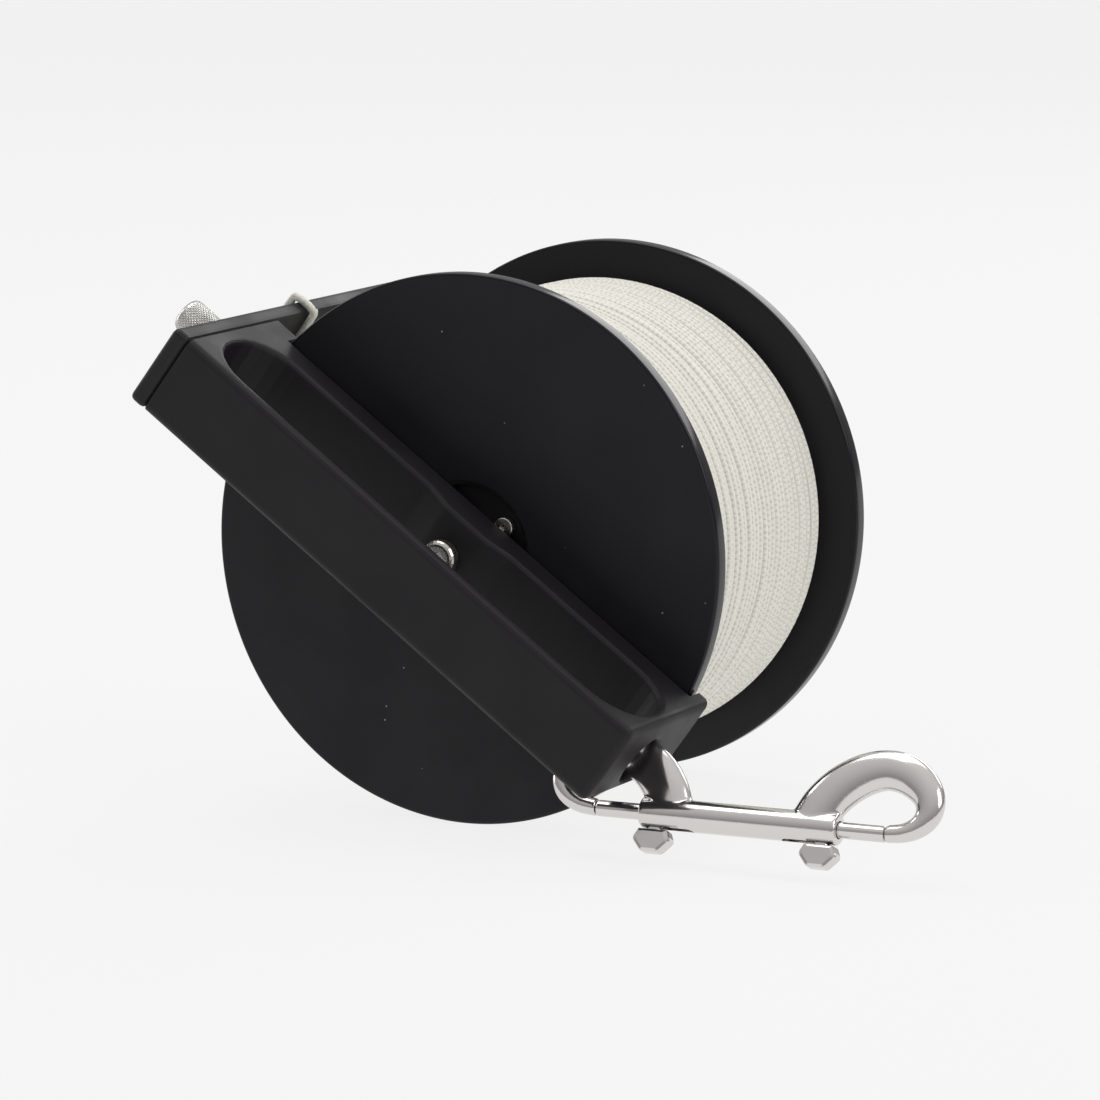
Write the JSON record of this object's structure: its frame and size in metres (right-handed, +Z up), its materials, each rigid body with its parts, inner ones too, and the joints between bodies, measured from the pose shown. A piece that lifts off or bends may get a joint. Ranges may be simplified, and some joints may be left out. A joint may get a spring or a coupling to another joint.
{
  "type": "side-handle line reel",
  "caption": "Side-handle line reel: black flanged spool of white braided line, slotted bar handle, line guide plate with thumbscrew lock, and a double-ended bolt snap.",
  "frame": {"origin": "centre of the handle's flat front face, on the spool's axis", "axes": "+Y back along the spool's axis, +Z up, +X to the right seen from the handle; the handle slopes 36.38 degrees down to the right"},
  "size_m": [0.2383, 0.177, 0.15],
  "materials": {
    "handle_plastic": "moulded satin black",
    "plate_plastic": "sawn and edge-rounded black sheet",
    "flange_plastic": "turned satin black",
    "stainless": "machined",
    "polished_stainless": "cast and polished",
    "nylon": "moulded natural nylon",
    "line": "braided white nylon line"
  },
  "bodies": {
    "frame": {"handle_block": "handle_plastic", "line_guide_plate": "plate_plastic", "plate_screw_1": "stainless", "plate_screw_2": "stainless", "axle_bolt": "stainless", "axle_sleeve": "stainless", "front_thrust_washer": "nylon", "rear_thrust_washer": "nylon", "rear_washer": "stainless", "axle_nut": "stainless", "line_end": "line"},
    "spool": {"front_flange": "flange_plastic", "rear_flange": "flange_plastic", "core_drum": "flange_plastic", "front_bushing": "nylon", "rear_bushing": "nylon", "front_hub_screw_1": "stainless", "front_hub_screw_2": "stainless", "front_hub_screw_3": "stainless", "front_hub_screw_4": "stainless", "rear_hub_screw_1": "stainless", "rear_hub_screw_2": "stainless", "rear_hub_screw_3": "stainless", "rear_hub_screw_4": "stainless", "line_pack": "line", "knob_spindle": "stainless", "knob_washer": "nylon", "knob_nut": "stainless"},
    "winding_knob": {"winding_knob": "handle_plastic"},
    "thumbscrew": {"thumbscrew": "stainless"},
    "lock_pad": {"lock_pad": "nylon"},
    "snap": {"snap_body": "polished_stainless", "gate_spring_left": "stainless", "gate_spring_right": "stainless"},
    "gate_left": {"gate_bolt_left": "polished_stainless"},
    "gate_right": {"gate_bolt_right": "polished_stainless"}
  },
  "joints": [
    {"name": "spool_spin", "type": "hinge", "parent": "frame", "child": "spool", "pos_m": [0, 0.0942, 0], "axis": [0, 1, 0], "continuous": true},
    {"name": "winding_knob_spin", "type": "hinge", "parent": "spool", "child": "winding_knob", "pos_m": [-0.045, 0.161, -0.035], "axis": [0, 1, 0], "continuous": true},
    {"name": "thumbscrew_turn", "type": "hinge", "parent": "frame", "child": "thumbscrew", "pos_m": [-0.07953, 0.0465, 0.05499], "axis": [0.8051, 0, -0.5931], "range_deg": [0, 270]},
    {"name": "lock_pad_slide", "type": "slide", "parent": "frame", "child": "lock_pad", "axis": [0.8051, 0, -0.5931], "range_m": [0, 0.0006]},
    {"name": "snap_swing", "type": "hinge", "parent": "frame", "child": "snap", "pos_m": [0.0543, 0.02201, -0.05279], "axis": [0, 0.9063, -0.4226], "range_deg": [-4, 40]},
    {"name": "gate_left_slide", "type": "slide", "parent": "snap", "child": "gate_left", "axis": [1, 0, 0], "range_m": [0, 0.0086], "stiffness_N_per_m": 300, "springref_m": -0.004, "deforming": ["gate_spring_left"]},
    {"name": "gate_right_slide", "type": "slide", "parent": "snap", "child": "gate_right", "axis": [-1, 0, 0], "range_m": [0, 0.0086], "stiffness_N_per_m": 300, "springref_m": -0.004, "deforming": ["gate_spring_right"]}
  ],
  "couplings": [
    {"joint": "lock_pad_slide", "follows": "thumbscrew_turn", "m_per_rad": 0.000127}
  ]
}
